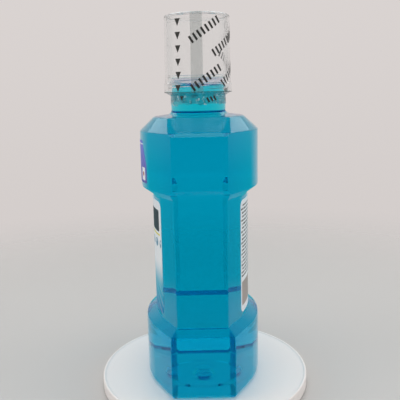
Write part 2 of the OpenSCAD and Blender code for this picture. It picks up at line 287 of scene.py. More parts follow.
class Field:
    """A number in a node tree. The operators add Math nodes."""

    def __init__(self, tree, socket):
        self.tree = tree
        self.socket = socket

    __add__ = maths("ADD")
    __radd__ = maths("ADD", reflected=True)
    __sub__ = maths("SUBTRACT")
    __rsub__ = maths("SUBTRACT", reflected=True)
    __mul__ = maths("MULTIPLY")
    __rmul__ = maths("MULTIPLY", reflected=True)
    __truediv__ = maths("DIVIDE")
    __rtruediv__ = maths("DIVIDE", reflected=True)
    __pow__ = maths("POWER")
    __rpow__ = maths("POWER", reflected=True)
    __abs__ = maths("ABSOLUTE")
    above = maths("GREATER_THAN")
    below = maths("LESS_THAN")
    most = maths("MAXIMUM")
    least = maths("MINIMUM")
    wrap = maths("FLOORED_MODULO")
    floor = maths("FLOOR")
    sine = maths("SINE")
    cosine = maths("COSINE")
    arctan2 = maths("ARCTAN2")

    def __neg__(self):
        return self * -1.0

    def between(self, low, high):
        return self.above(low) * self.below(high)

    def ramp(self, low, high, kind="SMOOTHSTEP"):
        """0 at low and 1 at high, smooth in between unless kind says otherwise."""
        return self.tree.node("ShaderNodeMapRange", {"interpolation_type": kind},
                              {"Value": self, "From Min": low, "From Max": high})


class Tree:
    """Builds a node tree: a material's, the world's or a Geometry Nodes group."""

    def __init__(self, tree):
        self.tree = tree
        tree.nodes.clear()

    def node(self, kind, settings=None, sockets=None, out=0):
        """Adds a node, sets its settings and then its sockets' values or links, and returns an output."""
        new = self.tree.nodes.new(kind)
        for key, value in (settings or {}).items():
            setattr(new, key, value)
        for key, value in (sockets or {}).items():
            target = new.inputs[key]
            if isinstance(value, Field):
                self.tree.links.new(value.socket, target)
            elif value is not None:
                target.default_value = value
        return Field(self, new.outputs[out]) if len(new.outputs) else new

    def read(self, kind, *names, sockets=None):
        """Outputs of a new node, by name: a list, or one alone."""
        outputs = self.node(kind, None, sockets).socket.node.outputs
        fields = [Field(self, outputs[name]) for name in names]
        return fields if len(fields) > 1 else fields[0]

    def axes(self, vector=None):
        """X, Y and Z of a vector, or of the object's own coordinates."""
        return self.read("ShaderNodeSeparateXYZ", "X", "Y", "Z", sockets={0: vector or self.object_point()})

    def object_point(self):
        return self.read("ShaderNodeTexCoord", "Object")

    def point(self, x, y, z):
        return self.node("ShaderNodeCombineXYZ", None, {0: x, 1: y, 2: z})

    def marked(self, name):
        """A number kept on the points of the mesh."""
        settings = {"attribute_type": "GEOMETRY", "attribute_name": name}
        return self.node("ShaderNodeAttribute", settings, out=2)

    def blend(self, mask, first, second):
        """first where mask is 0, second where it is 1, for colours."""
        return self.node("ShaderNodeMix", {"data_type": "RGBA", "clamp_factor": True},
                         {0: mask, 6: rgba(first), 7: rgba(second)}, out=2)

    def painted(self, ground, *layers):
        """A ground with layers over it, each a mask and its colour."""
        for mask, tint in layers:
            ground = self.blend(mask, ground, tint)
        return ground

    def noise(self, scale, detail=2.0, rough=0.5, stretch=None):
        point = self.object_point()
        if stretch:
            point = self.node("ShaderNodeMapping", None, {"Vector": point, "Scale": stretch})
        return self.node("ShaderNodeTexNoise", None,
                         {"Vector": point, "Scale": scale, "Detail": detail, "Roughness": rough})

    def bump(self, height, strength, distance):
        return self.node("ShaderNodeBump", None,
                         {"Height": height, "Strength": strength, "Distance": distance})

    def principled(self, **sockets):
        """A Principled shader. An underscore stands for the space in a socket's name."""
        named = {key.replace("_", " "): value for key, value in sockets.items()}
        return self.node("ShaderNodeBsdfPrincipled", None, named)

    def diffuse(self, tint):
        return self.node("ShaderNodeBsdfDiffuse", None, {"Color": rgba(tint)})

    def transparent(self, tint=(1, 1, 1)):
        return self.node("ShaderNodeBsdfTransparent", None, {"Color": rgba(tint)})

    def shader_mix(self, factor, first, second):
        return self.node("ShaderNodeMixShader", None, {0: factor, 1: first, 2: second})


def rgba(value):
    return value if isinstance(value, Field) else (*tuple(value)[:3], 1.0)


def new_material(name):
    """A material's empty tree, and the function that closes it."""
    material = bpy.data.materials.new(name)
    material.use_nodes = True
    tree = Tree(material.node_tree)

    def close(surface, volume=None):
        tree.node("ShaderNodeOutputMaterial", None, {"Surface": surface, "Volume": volume})
        return material

    return tree, close


def clear_material(name, tint, ior, ripple=None, gloss=(1, 1, 1), flank_ior=None, levels=(), wet=None,
                   shade=None, volume=None):
    """Clear plastic or liquid. Lamps shine through it, tinted by shade. Light leaves the faces marked as
    flank by flank_ior. levels lists heights, how far out from the middle, and the IOR and gloss that hold
    from there on. wet tells where liquid touches plastic, so nothing bends there."""
    t, close = new_material(name)
    sockets = {"Base_Color": rgba(tint), "Roughness": 0.0, "IOR": ior, "Transmission_Weight": 1.0,
               "Specular_Tint": rgba(gloss)}
    if ripple:
        height, scale = ripple
        sockets["Normal"] = t.bump(t.noise(scale, 1.0, 0.4), 1.0, height)
    surface = t.principled(**sockets)
    if flank_ior:
        weaker = t.principled(**{**sockets, "IOR": flank_ior})
        leaving = t.read("ShaderNodeNewGeometry", "Backfacing")
        surface = t.shader_mix(t.marked("flank"), surface, t.shader_mix(leaving, surface, weaker))
    if levels:
        x, y, z = t.axes()
    for height, aside, bend, shine in levels:
        there = z.above(height) * abs(y).above(aside) if aside else z.above(height)
        upper = t.principled(**{**sockets, "Specular_Tint": rgba(shine), "IOR": bend})
        surface = t.shader_mix(there, surface, upper)
    if wet:
        joint = t.principled(Base_Color=rgba(tint), Roughness=0.0, IOR=1.0, Transmission_Weight=1.0)
        surface = t.shader_mix(wet(t), surface, joint)
    shadow = t.read("ShaderNodeLightPath", "Is Shadow Ray")
    surface = t.shader_mix(shadow, surface, t.transparent(shade or tint))
    if not volume:
        return close(surface)
    depth, density = volume
    absorbed = t.node("ShaderNodeVolumeAbsorption", None, {"Color": rgba(depth), "Density": density})
    return close(surface, absorbed)


def film_material(name, haze_and_fold_shade, folds, overlap=None, lip=None, tone=HAZE, painted_glints=0.0):
    """Thin clear shrink film: what is behind shows, with gloss on its small wrinkles. overlap is where its
    ends are glued, and lip is the height of its rolled edge, where a dark band of shade is painted.
    tone covers the film by haze_and_fold_shade, most on its folds: real haze when pale, painted shade when
    dark. painted_glints is how much white glint is painted on the folds."""
    t, close = new_material(name)
    height, scale = folds
    folded = t.noise(scale, 5.0, 0.6, (1.0, 1.0, 0.45))
    normal = t.bump(folded, 1.0, height)
    gloss = t.node("ShaderNodeBsdfGlossy", None,
                   {"Color": (0.95, 0.95, 0.95, 1), "Roughness": 0.09, "Normal": normal})
    edge = t.node("ShaderNodeFresnel", None, {"IOR": FILM_IOR, "Normal": normal})
    sheet = t.shader_mix(edge.least(FILM_GLOSS), t.transparent((0.997, 0.997, 0.997)), gloss)
    if overlap or lip:
        x, y, z = t.axes()
    if overlap:
        start, end = overlap
        blur = 0.012
        turned = y.arctan2(x)
        glued = turned.ramp(start - blur, start + blur) * turned.ramp(end + blur, end - blur)
        sheet = t.shader_mix(glued * GLUED_COVER, sheet, t.diffuse(GLUED))
    # Painted shade: a dark band along the rolled lip at the lower edge of the rim
    if lip:
        lip_shade = z.ramp(lip + 0.75 * MM, lip + 0.25 * MM)
        sheet = t.shader_mix(lip_shade * LIP_SHADE_COVER, sheet, t.diffuse(PAINTED_LIP_SHADE))
    # A flat tone over the film, most on its folds: pale haze on the cap, painted shade on the neck band's
    # crumples
    sheet = t.shader_mix(folded.ramp(0.5, 0.85) * haze_and_fold_shade + haze_and_fold_shade * 0.2, sheet, t.diffuse(tone))
    # Painted highlights: white glints on the folds
    if painted_glints:
        painted_glint_mask = t.noise(scale * 1.3, 3.0, 0.7, (1.0, 1.0, 0.7)).ramp(0.57, 0.66) * painted_glints
        sheet = t.shader_mix(painted_glint_mask, sheet, t.diffuse(PAINTED_GLINT))
    return close(sheet)


def ink_material(name, tint):
    """Printing ink, with the small breaks of a printed film."""
    t, close = new_material(name)
    specks = t.noise(2600.0, 2.0)
    shade = t.blend(specks.ramp(0.35, 0.75), tint, [c * 1.6 + 0.004 for c in tint])
    grain = t.bump(specks, 0.3, 0.00002)
    return close(t.principled(Base_Color=shade, Roughness=specks * 0.2 + 0.3, Normal=grain))


def distance(x, y):
    """How far out a point is."""
    return (x * x + y * y) ** 0.5


def rounded(x, z, centre, half, radius):
    """1 inside a rectangle with round corners."""
    dx = (abs(x - centre[0]) - (half[0] - radius)).most(0.0)
    dz = (abs(z - centre[1]) - (half[1] - radius)).most(0.0)
    return distance(dx, dz).below(radius)


def print_finish(t, close, tint):
    """The finish that the labels share: printed film with a soft gloss."""
    fibre = t.noise(900.0, 3.0)
    grain = t.bump(fibre, 0.25, 0.00003)
    return close(t.principled(Base_Color=tint, Roughness=fibre * 0.14 + 0.4, Normal=grain, IOR=1.3,
                              Specular_IOR_Level=0.12))


def front_label_material(looks, labels):
    """White above, blue below, a bare banner over a thin line, a row of drops and three rings."""
    t, close = new_material("front_label_print")
    x, y, z = t.axes()
    mid = (labels.bottom + labels.top) / 2
    wave = (x * 70.0).sine() * 0.004 + (x * 23.0 + 1.0).sine() * 0.006
    rays = (x * 0.8 + z).wrap(7.5 * MM).below(0.6 * MM) * z.below(mid - 19 * MM)
    banner = rounded(x, z, (0.0, mid + 25 * MM), (28.5 * MM, 7.2 * MM), 1.2 * MM)
    line = z.between(mid + 15.2 * MM, mid + 16.4 * MM) * abs(x).below(29.5 * MM)
    cell = x.wrap(9 * MM) - 4.5 * MM
    row = abs(x).below(31.0 * MM)
    drop = distance(cell, z - (mid + 10.0 * MM)).below(2.9 * MM)
    glint = distance(cell + 0.9 * MM, z - (mid + 10.9 * MM)).below(1.0 * MM)
    out = distance(x, z - (mid - 10 * MM))
    rings = [(abs(out - radius * MM).below(0.45 * MM) * 0.55, RING_WHITE) for radius in (5.0, 8.5, 12.0)]
    tint = t.painted(
        looks.label_white,
        ((z + wave).ramp(mid + 9 * MM, mid - 14 * MM), looks.label_teal),
        ((z + wave * 1.6).ramp(mid - 4 * MM, labels.bottom + 8 * MM), looks.label_blue),
        (rays * 0.75, RAY_WHITE),
        (banner, looks.banner),
        (line, looks.line),
        (drop * row, DROP_BLUE),
        (glint * row, DROP_GLINT),
        *rings)
    return print_finish(t, close, tint)


def back_label_material(looks, labels):
    """White ground, rows of plain dashes in place of small print, and a plain bar with stripes."""
    t, close = new_material("back_label_print")
    x, y, z = t.axes()
    pitch = 2.5 * MM
    down = labels.top - z
    row = (down / pitch).floor()
    inside = (down - row * pitch).between(0.5 * MM, 1.75 * MM)
    scatter = 12.9898
    shift = (row * scatter).sine() * (7.0 * MM)
    gaps = (x + shift).wrap(6.3 * MM).above(0.9 * MM) * (x * 1.7 + shift * 2.3).wrap(4.1 * MM).above(0.7 * MM)
    end = (row * 4.1).sine() * (1.0 * MM) + 30.4 * MM
    rows = inside * gaps * x.below(end) * x.above(-30.5 * MM) * down.between(3.2 * MM, 52.5 * MM)
    darker = row.wrap(6.0).below(0.5) * 0.05 + 0.95
    bar_middle = labels.bottom + 13 * MM
    stripes = x.wrap(1.9 * MM).below(0.8 * MM) + (x + 0.4 * MM).wrap(3.1 * MM).below(0.6 * MM)
    striped = abs(x + 12 * MM).below(8.5 * MM) * abs(z - bar_middle).below(4.2 * MM)
    tint = t.painted(
        looks.label_white,
        (rows * darker, looks.fine_print),
        (rounded(x, z, (0.0, bar_middle), (30.4 * MM, 8.3 * MM), 1.0 * MM), looks.bar),
        (rounded(x, z, (-12 * MM, bar_middle), (11 * MM, 6.0 * MM), 0.6 * MM), looks.label_white),
        (stripes.least(1.0) * striped, looks.banner))
    return print_finish(t, close, tint)


def shoulder_label_material(looks, labels):
    """Violet ground with plain rings, a white line and a small white panel with a dot."""
    t, close = new_material("shoulder_label_print")
    x, y, z = t.axes()
    low, high = labels.badge_bottom, labels.badge_top
    panel_x, panel_z = 19.6 * MM, low + 6.0 * MM
    rings = distance(x, z - (low - 6 * MM)).wrap(4.4 * MM).below(0.9 * MM)
    tint = t.painted(
        looks.violet,
        (z.ramp(low, high), [c * 1.7 for c in looks.violet]),
        (rings * 0.35, BADGE_RINGS),
        (abs(z - (high - 2.2 * MM)).below(0.35 * MM), looks.label_white),
        (rounded(x, z, (panel_x, panel_z), (3.4 * MM, 4.2 * MM), 0.6 * MM), looks.label_white),
        (distance(x - panel_x, z - panel_z).below(1.5 * MM), BADGE_DOT))
    return print_finish(t, close, tint)


def seal_material(name):
    """Soft clear seal, a little cloudy."""
    t, close = new_material(name)
    cloud = t.noise(900.0, 3.0)
    tint = t.blend(cloud, (0.80, 0.86, 0.86), (0.90, 0.94, 0.93))
    body = t.principled(Base_Color=tint, Roughness=cloud * 0.2 + 0.25, Normal=t.bump(cloud, 0.3, 0.00003))
    return close(t.shader_mix(0.22, t.transparent((0.93, 0.97, 0.97)), body))


def wetted(t):
    """The bottle's inner wall up to the liquid's surface."""
    return t.marked("wet")


def against_wall(t):
    """All of the liquid except its free surface in the neck."""
    x, y, z = t.axes()
    return 1.0 - distance(x, y).below(FREE_SURFACE) * z.above(LIQUID_BOX[1].z - 1.3 * MM)


# Meshes

def linked(name, mesh):
    """A new object in the scene."""
    piece = bpy.data.objects.new(name, mesh)
    bpy.context.scene.collection.objects.link(piece)
    return piece


def make_piece(name, shape, material, body, node, sharp=40.0, weigh=True):
    """A finished piece: a closed mesh with its place in its points, which rides on its body and stands for
    a CAD node."""
    points, faces = shape
    points = np.asarray(points, float)
    mesh = bpy.data.meshes.new(name)
    mesh.from_pydata(points.tolist(), [], faces)
    if signed_volume(points, faces) < 0:
        mesh.flip_normals()
    mesh.update()
    mesh.shade_smooth()
    mesh.set_sharp_from_angle(angle=radians(sharp))
    piece = linked(name, mesh)
    if weigh:
        modifier = piece.modifiers.new("even_shading", "WEIGHTED_NORMAL")
        modifier.keep_sharp = True
        plain_mesh(piece)
    piece.data.materials.append(material)
    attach(piece, body)
    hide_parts(node)
    return piece


def plain_mesh(piece):
    """Turns the evaluated object into a plain mesh and takes its modifiers off."""
    graph = bpy.context.evaluated_depsgraph_get()
    graph.update()
    finished = piece.evaluated_get(graph)
    mesh = bpy.data.meshes.new_from_object(finished, preserve_all_data_layers=True, depsgraph=graph)
    old = piece.data
    piece.modifiers.clear()
    piece.data = mesh
    mesh.name = piece.name
    bpy.data.meshes.remove(old)


def mark_points(piece, name, values):
    """Keeps a number on each point of a piece, for its material."""
    piece.data.attributes.new(name, "FLOAT", "POINT").data.foreach_set("value", values)


def signed_volume(points, faces):
    total = 0.0
    for face in faces:
        a = points[face[0]]
        for i in range(1, len(face) - 1):
            total += np.dot(a, np.cross(points[face[i]], points[face[i + 1]]))
    return total / 6


def loft(rings):
    """Points and faces through a list of rings, closed at both ends with a point on the axis."""
    n = len(rings[0])
    points = [p for ring in rings for p in ring]
    faces = []
    for k in range(len(rings) - 1):
        for j in range(n):
            a, b = k * n + j, k * n + (j + 1) % n
            faces.append((a, b, b + n, a + n))
    for end, first in enumerate((0, (len(rings) - 1) * n)):
        tip = len(points)
        points.append((0, 0, points[first][2]))
        for j in range(n):
            a, b = first + j, first + (j + 1) % n
            faces.append((a, b, tip) if end else (b, a, tip))
    return points, faces


def closed_loop(rings):
    """Points and faces of rings that run round and meet again, such as a washer."""
    n, m = len(rings[0]), len(rings)
    points = [p for ring in rings for p in ring]
    faces = []
    for k in range(m):
        for j in range(n):
            a, b = k * n + j, k * n + (j + 1) % n
            c, d = (k + 1) % m * n + (j + 1) % n, (k + 1) % m * n + j
            faces.append((a, b, c, d))
    return points, faces


def sheet_faces(m, k, whole=False):
    """Faces of a thin closed sheet: m rows of k points on its outer side, then as many on its inner side."""
    inner = m * k
    across = k if whole else k - 1
    faces = []
    for i in range(m - 1):
        for j in range(across):
            a, b = i * k + j, i * k + (j + 1) % k
            faces += [(a, a + k, b + k, b), (inner + a, inner + b, inner + b + k, inner + a + k)]
    edges = []
    for j in range(across):
        last = (m - 1) * k
        edges += [(j, (j + 1) % k), (last + (j + 1) % k, last + j)]
    if not whole:
        for i in range(m - 1):
            edges += [((i + 1) * k, i * k), (i * k + k - 1, (i + 1) * k + k - 1)]
    return faces + [(a, b, inner + b, inner + a) for a, b in edges]


def softened(rings, reach, steps=4):
    """Rounds the bends of a list of rings. reach has one length for each ring, 0 for none."""
    done = [rings[0]]
    for i in range(1, len(rings) - 1):
        here, before, after = rings[i], rings[i - 1], rings[i + 1]
        if not reach[i]:
            done.append(here)
            continue
        back = np.linalg.norm(before - here, axis=1, keepdims=True)
        ahead = np.linalg.norm(after - here, axis=1, keepdims=True)
        start = here + (before - here) * np.minimum(reach[i] / np.maximum(back, 1e-9), 0.45)
        end = here + (after - here) * np.minimum(reach[i] / np.maximum(ahead, 1e-9), 0.45)
        for s in np.linspace(0, 1, steps + 1):
            done.append((1 - s) ** 2 * start + 2 * s * (1 - s) * here + s * s * end)
    done.append(rings[-1])
    return done


class Plan:
    """A plan outline of the bottle: bowed front and back, corner faces and end faces."""
    BOW_PARTS = 16
    SLANT_PARTS = 8
    EDGE_PARTS = 6
    END_PARTS = 7
    SMALLEST_EDGE = 0.6 * MM
    # Half the width of the parting line with its grooves, and of the line alone
    GROOVES = 1.0 * MM
    LINE = 0.45 * MM

    def __init__(self, half_width, half_depth, bow_half, corner, kink, edge):
        self.half_width, self.half_depth, self.bow_half = half_width, half_depth, bow_half
        self.corner, self.kink, self.edge = corner, kink, edge
        self.bow_radius = bow_half / sin(corner - kink)

    def quarter(self, inset):
        """Points from the middle of the back to the end face, moved in by inset."""
        radius = self.bow_radius - inset
        bow_y = self.half_depth - self.bow_radius * (1 - cos(self.corner - self.kink))
        bisector, reach = self.corner - self.kink / 2, inset / cos(self.kink / 2)
        kink_x, kink_y = self.bow_half - reach * sin(bisector), bow_y - reach * cos(bisector)
        end_x = self.half_width - inset
        end_y = kink_y - (end_x - kink_x) * tan(self.corner)
        edge = max(self.edge - inset * 0.4, self.SMALLEST_EDGE)
        half = (pi / 2 - self.corner) / 2
        centre_x = end_x - edge / cos(half) * sin(self.corner + half)
        centre_y = end_y - edge / cos(half) * cos(self.corner + half)
        middle_y = self.half_depth - inset - radius
        bow = [(radius * sin(a), middle_y + radius * cos(a))
               for a in np.linspace(0, asin(kink_x / radius), self.BOW_PARTS + 1)[:-1]]
        arc = [(centre_x + edge * sin(a), centre_y + edge * cos(a))
               for a in np.linspace(self.corner, pi / 2, self.EDGE_PARTS + 1)]
        (arc_x, arc_y), (last_x, last_y) = arc[0], arc[-1]
        slant = [(kink_x + (arc_x - kink_x) * s, kink_y + (arc_y - kink_y) * s)
                 for s in np.linspace(0, 1, self.SLANT_PARTS + 1)[:-1]]
        end = [(last_x, last_y + (self.GROOVES - last_y) * s)
               for s in np.linspace(0, 1, self.END_PARTS + 1)[1:]]
        return bow + slant + arc + end

    def ring(self, inset, z, seam=0.0, proud=0.0):
        """The whole outline at a height. seam is the depth of the two fine grooves beside the parting line,
        and proud is how far the line stands out."""
        quarter = self.quarter(inset)
        x = quarter[-1][0]
        side = quarter + [(x - seam, self.LINE)]
        right = side + [(x + proud, 0.0)] + [(a, -b) for a, b in reversed(side)]
        left = [(-a, b) for a, b in reversed(right[1:-1])]
        return np.array([(a, b, z) for a, b in right + left])


def angles(n):
    """Even angles round a ring, in the order of the outlines."""
    return pi / 2 - np.arange(n) * 2 * pi / n


def circle(radius, z, n):
    """A round ring. radius is one number, or one for each point."""
    a = angles(n)
    return np.column_stack([radius * np.cos(a), radius * np.sin(a), np.full(n, z)])


def turned(profile, n, out=0.0, up=0.0):
    """Round rings from a profile in millimetres, moved out and up."""
    return [circle(out + r * MM, up + z * MM, n) for r, z in profile]


def round_rings(n, *rows):
    """Round rings from rows of radius and millimetres added to it, height and millimetres added to it."""
    return [circle(r + out * MM, z + up * MM, n) for r, out, z, up in rows]


def thread_height(n, z, start, first, turns, lead, root, crest):
    """How far a thread stands out round a ring at a height, from 0 to 1. start is its height at no turn,
    first is the turn where it begins, and root and crest are half its widths."""
    best = np.zeros(n)
    for k in range(4):
        s = angles(n) % (2 * pi) + 2 * pi * k
        along = (s - first * 2 * pi) / (turns * 2 * pi)
        d = np.abs(z - (start + lead * s / (2 * pi)))
        height = np.clip((root - d) / (root - crest), 0, 1)
        fade = np.clip(along * turns * 12, 0, 1) * np.clip((1 - along) * turns * 12, 0, 1)
        best = np.maximum(best, height * fade * ((along > 0) & (along < 1)))
    return best


def threaded(n, low, high, wall, outermost, **thread):
    """Rings of a threaded wall between two heights, from its radius to the radius over the thread."""
    return [circle(wall + (outermost - wall) * thread_height(n, z, **thread), z, n)
            for z in np.arange(low, high, THREAD_STEP)]


def thread_start(neck):
    """Height where the bottle's thread would be at no turn."""
    return BOTTLE_BOX[1].z - 1.6 * MM - neck.lead * neck.turns


def plans(s):
    """The plans of the bottle's levels, from its sizes."""
    wide, deep = s.width / 2, s.depth / 2
    outlines = {
        "low": (wide, deep, s.bow_half, s.lower_angle),
        "waist": (wide - s.waist_in_width, deep - s.waist_in_depth, s.waist_bow_half, s.waist_angle),
        "up_end": (wide - s.end_cut, deep, s.bow_half, s.upper_angle),
        "up": (wide, deep, s.bow_half, s.upper_angle),
        "deck": (s.deck_width / 2, s.deck_depth / 2, s.deck_width * 0.3, s.deck_angle),
    }
    return {name: Plan(*outline, s.kink, s.edge) for name, outline in outlines.items()}


def body_rings(s, g, outside=False):
    """Rings of the bottle's skin, moved in by g, from the base's edge to the shoulder, and how far each
    bend is rounded. Only the outside has the mould's parting line."""
    p = plans(s)
    seam, proud = (s.seam * 0.6, s.seam) if outside else (0.0, 0.0)
    wide, tall = s.base_edge - 0.4 * g, s.base_edge - 1.9 * g
    rings = [p["low"].ring(s.base_edge + 0.6 * g - wide * sin(a), s.base_edge + 0.1 * g - tall * cos(a))
             for a in np.linspace(0, pi / 2, 8)]
    reach = [0] * len(rings)
    mitre = g * tan(pi / 8)
    for name, z, softness in (
            ("low", s.low_top - mitre, 1.3),
            ("step", s.waist_bottom - s.step - mitre, 0.4),
            ("waist", s.waist_bottom - mitre, 0.4),
            ("waist", s.waist_top + mitre, 1.3),
            ("up_end", s.up_bottom + mitre, 1.0),
            ("up", s.up_bottom + s.end_cut + mitre, 1.0),
            ("up", s.up_top - s.end_cut * 0.7 - mitre, 1.0),
            ("up_end", s.up_top - mitre, 1.0),
            ("deck", s.shoulder_top - g, 1.5)):
        reach.append(s.soft * softness)
        if name == "step":
            # The skin is a little in from the lower block here, below the short slope to the waist
            rings.append(p["waist"].ring(g, z, seam) * 0.06 + p["low"].ring(g, z, seam) * 0.94)
        elif name == "deck":
            rings.append(p["deck"].ring(g * 0.8, z))
        else:
            rings.append(p[name].ring(g, z, seam, proud if name == "waist" else 0.0))
    return rings, reach


def inner_neck(neck, g, n):
    """Rings of the inside from the shoulder up into the bore, moved in by g."""
    radius, foot = neck.foot_radius - g, neck.foot - g
    bend = (radius, -1.3, foot, -1.2), (radius, -2.6, foot, 0)
    return round_rings(n, *bend, (neck.bore - g, 0, neck.foot, 1.0))


# Geometry Nodes: a row of marks that wraps round the film

MARK_INPUTS = (
    ("Count", "NodeSocketInt", 6), ("Start", "NodeSocketVector", (0, 0, 0)),
    ("End", "NodeSocketVector", (0, 0, 0.05)), ("Width", "NodeSocketFloat", 0.003),
    ("Height", "NodeSocketFloat", 0.005), ("Taper", "NodeSocketFloat", 0.0), ("Lean", "NodeSocketFloat", 0.0),
    ("Radius", "NodeSocketFloat", 0.02), ("Slope", "NodeSocketFloat", 0.0), ("Foot", "NodeSocketFloat", 0.0),
    ("Flare", "NodeSocketFloat", 0.0), ("Lift", "NodeSocketFloat", 0.0), ("Ink", "NodeSocketMaterial", None),
)


def marks_group():
    """A row of bars or arrows between two places on the unrolled film, bent round the cap."""
    group = bpy.data.node_groups.get("wrapped_marks")
    if group:
        return group
    group = bpy.data.node_groups.new("wrapped_marks", "GeometryNodeTree")
    group.interface.new_socket("Geometry", in_out="INPUT", socket_type="NodeSocketGeometry")
    for name, kind, value in MARK_INPUTS:
        socket = group.interface.new_socket(name, in_out="INPUT", socket_type=kind)
        if value is not None:
            socket.default_value = value
    group.interface.new_socket("Geometry", in_out="OUTPUT", socket_type="NodeSocketGeometry")
    t = Tree(group)
    names = [name for name, kind, value in MARK_INPUTS]
    get = dict(zip(names, t.read("NodeGroupInput", *names)))
    grid = t.node("GeometryNodeMeshGrid", None,
                  {"Size X": 1.0, "Size Y": 1.0, "Vertices X": 3, "Vertices Y": 11})
    x, y, z = t.axes(t.node("GeometryNodeInputPosition"))
    shaped = t.point(x * (1.0 - get["Taper"] * (0.5 - y)), y, z)
    mark = t.node("GeometryNodeSetPosition", None, {"Geometry": grid, "Position": shaped})
    row = t.node("GeometryNodeMeshLine", {"mode": "END_POINTS", "count_mode": "TOTAL"},
                 {"Count": get["Count"], "Start Location": get["Start"], "Offset": get["End"]})
    rotation = t.node("FunctionNodeEulerToRotation", None, {0: t.point(pi / 2, get["Lean"], 0.0)})
    size = t.point(get["Width"], get["Height"], 1.0)
    placed = t.node("GeometryNodeInstanceOnPoints", None,
                    {"Points": row, "Instance": mark, "Rotation": rotation, "Scale": size})
    real = t.node("GeometryNodeRealizeInstances", None, {0: placed})
    px, py, pz = t.axes(t.node("GeometryNodeInputPosition"))
    angle = px / get["Radius"]
    over = (pz - get["Foot"]).most(0.0)
    flare = (get["Foot"] - pz).ramp(-0.1 * MM, 0.7 * MM, "LINEAR") * get["Flare"]
    radius = get["Radius"] + get["Slope"] * over + flare + get["Lift"] + py
    bent = t.point(radius * angle.cosine(), radius * angle.sine(), pz)
    wrapped = t.node("GeometryNodeSetPosition", None, {"Geometry": real, "Position": bent})
    merged = t.node("GeometryNodeMergeByDistance", None, {0: wrapped, "Distance": 1e-6})
    inked = t.node("GeometryNodeSetMaterial", None, {"Geometry": merged, "Material": get["Ink"]})
    t.node("NodeGroupOutput", None, {0: inked})
    return group


def row_of_marks(values):
    """Points and faces of one row of marks."""
    piece = linked("row", bpy.data.meshes.new("row"))
    modifier = piece.modifiers.new("marks", "NODES")
    group = marks_group()
    modifier.node_group = group
    ids = {item.name: item.identifier for item in group.interface.items_tree if item.in_out == "INPUT"}
    for key, value in values.items():
        modifier[ids[key]] = value
    piece.update_tag()
    plain_mesh(piece)
    mesh = piece.data
    points = [tuple(v.co) for v in mesh.vertices]
    faces = [tuple(f.vertices) for f in mesh.polygons]
    bpy.data.objects.remove(piece)
    bpy.data.meshes.remove(mesh)
    return points, faces


def make_marks(name, rows, ink, body):
    """Rows of marks as one plain mesh, riding on its body."""
    points, faces = [], []
    for values in rows:
        more_points, more_faces = row_of_marks({**values, "Ink": ink})
        faces += [[len(points) + i for i in face] for face in more_faces]
        points += more_points
    mesh = bpy.data.meshes.new(name)
    mesh.from_pydata(points, [], faces)
    mesh.shade_smooth()
    mesh.materials.append(ink)
    piece = linked(name, mesh)
    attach(piece, body)


# Operators

class BOTTLE_OT_bottle(bpy.types.Operator):
    """Blown clear bottle with its neck, thread, base and mould seam."""
    bl_idname = "bottle.bottle"
    bl_label = "Bottle"

    def execute(self, context):
        scene = context.scene
        s, neck, looks = scene.bottle_sizes, scene.neck_sizes, scene.looks
        outer, reach = body_rings(s, 0.0, outside=True)
        n = len(outer[0])
        high = BOTTLE_BOX[1].z
        spout = round_rings(
            n, (neck.foot_radius, 0, neck.foot, 0), (neck.radius, 0, neck.foot, 1.4),
            (neck.radius, 0, neck.finish_start, 0), (neck.finish, 0, neck.finish_start, 0.6),
            (neck.finish, 0, neck.finish_start, 1.2))
        body = softened([*outer, *spout], [*reach, 0.8 * MM, 1.0 * MM, 0.25 * MM, 0.25 * MM, 0])
        threads = threaded(
            n, neck.finish_start + 1.2 * MM, high - 0.7 * MM, neck.finish, neck.thread,
            start=thread_start(neck), first=0.0, turns=neck.turns, lead=neck.lead,
            root=1.3 * MM, crest=0.6 * MM)
        level = LIQUID_BOX[1].z
        dry = round_rings(n, *[(neck.bore, 0, level, up) for up in (0.12, 0, -0.12)])
        skin = softened(*body_rings(s, s.wall))
        inside = [*inner_neck(neck, 0.0, n)[::-1], *skin[::-1], *turned(INNER_BASE, n)]
        rings = [*turned(BASE, n), *body[:-1], *threads, *turned(LIP, n, up=high), *dry, *inside]
        clear = clear_material(
            "blown_pet", looks.pet, looks.ior, BOTTLE_RIPPLE, looks.gloss, looks.flank_ior, wet=wetted,
            levels=((s.up_top + 0.5 * MM, 0, looks.shoulder_ior, looks.gloss),
                    (s.up_top + 0.5 * MM, 17.5 * MM, looks.shoulder_ior, (1, 1, 1)),
                    (neck.foot + 1.0 * MM, 0, looks.neck_ior, looks.gloss),
                    (neck.finish_start, 0, looks.finish_ior, (1, 1, 1))))
        shell = make_piece("bottle_shell", loft(rings), clear, "container", "bottle", sharp=75)
        wet = np.zeros(len(shell.data.vertices))
        wet[(len(rings) - len(inside) - 1) * n:] = 1
        outer_tip = len(rings) * n
        wet[outer_tip] = 0
        mark_points(shell, "wet", wet)
        facing = np.abs([v.normal for v in shell.data.vertices])
        z = np.array([v.co.z for v in shell.data.vertices])
        # The corner faces: upright, and turned from the front and from the ends
        flank = (facing[:, 1] > 0.6) & (facing[:, 1] < 0.97) & (facing[:, 2] < 0.35)
        flank &= (z > s.base_edge) & (z < s.up_top) & (wet == 0)
        mark_points(shell, "flank", flank.astype(float))
        return {"FINISHED"}


